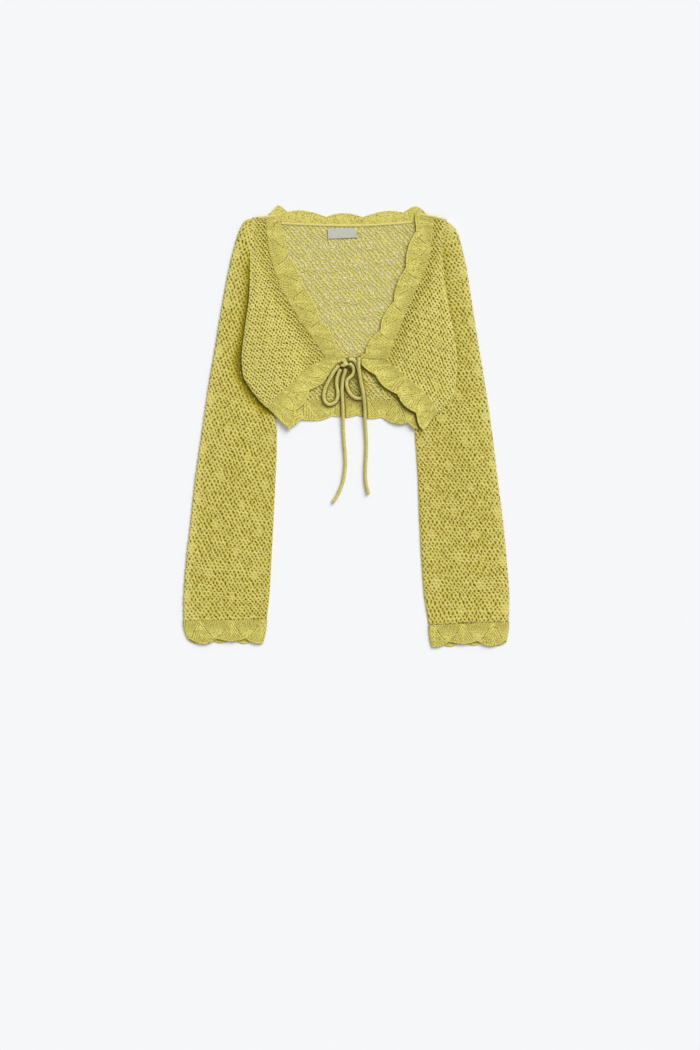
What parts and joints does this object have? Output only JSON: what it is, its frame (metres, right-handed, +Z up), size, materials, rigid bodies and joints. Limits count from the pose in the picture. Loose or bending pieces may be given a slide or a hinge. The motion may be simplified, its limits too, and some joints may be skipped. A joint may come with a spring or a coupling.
{
  "type": "cropped cardigan",
  "caption": "Cropped open-work knitted cardigan with long sleeves, scalloped bands and a tie front, laid flat with the sleeves straight down.",
  "frame": {"origin": "on the surface the garment lies on, at the middle of its extent without the tie cord: between the two side edges, and midway from the neck's edge to the cuffs", "axes": "+X to the right as seen from above with the neck at the top, +Y from the cuffs towards the neck, +Z up from the surface; left and right in the node names are as seen from above"},
  "size_m": [0.4897, 0.6613, 0.0137],
  "materials": {
    "open_knit": "soft matt yarn in an open mesh knit with small solid diamonds",
    "solid_knit": "soft matt yarn, closely knitted with eyelets",
    "tie_cord": "soft matt knitted cord",
    "woven_label": "smooth woven tape, blank"
  },
  "bodies": {
    "root": {"back": "open_knit", "front_left": "open_knit", "front_right": "open_knit", "sleeve_left": "open_knit", "sleeve_right": "open_knit", "neck_band_left": "solid_knit", "neck_band_right": "solid_knit", "neck_band_back": "solid_knit", "hem_band_left": "solid_knit", "hem_band_right": "solid_knit", "hem_band_back": "solid_knit", "cuff_left": "solid_knit", "cuff_right": "solid_knit", "label": "woven_label", "bow_knot": "tie_cord", "loop_left": "tie_cord", "loop_right": "tie_cord", "tail_left": "tie_cord", "tail_right": "tie_cord"}
  },
  "joints": []
}
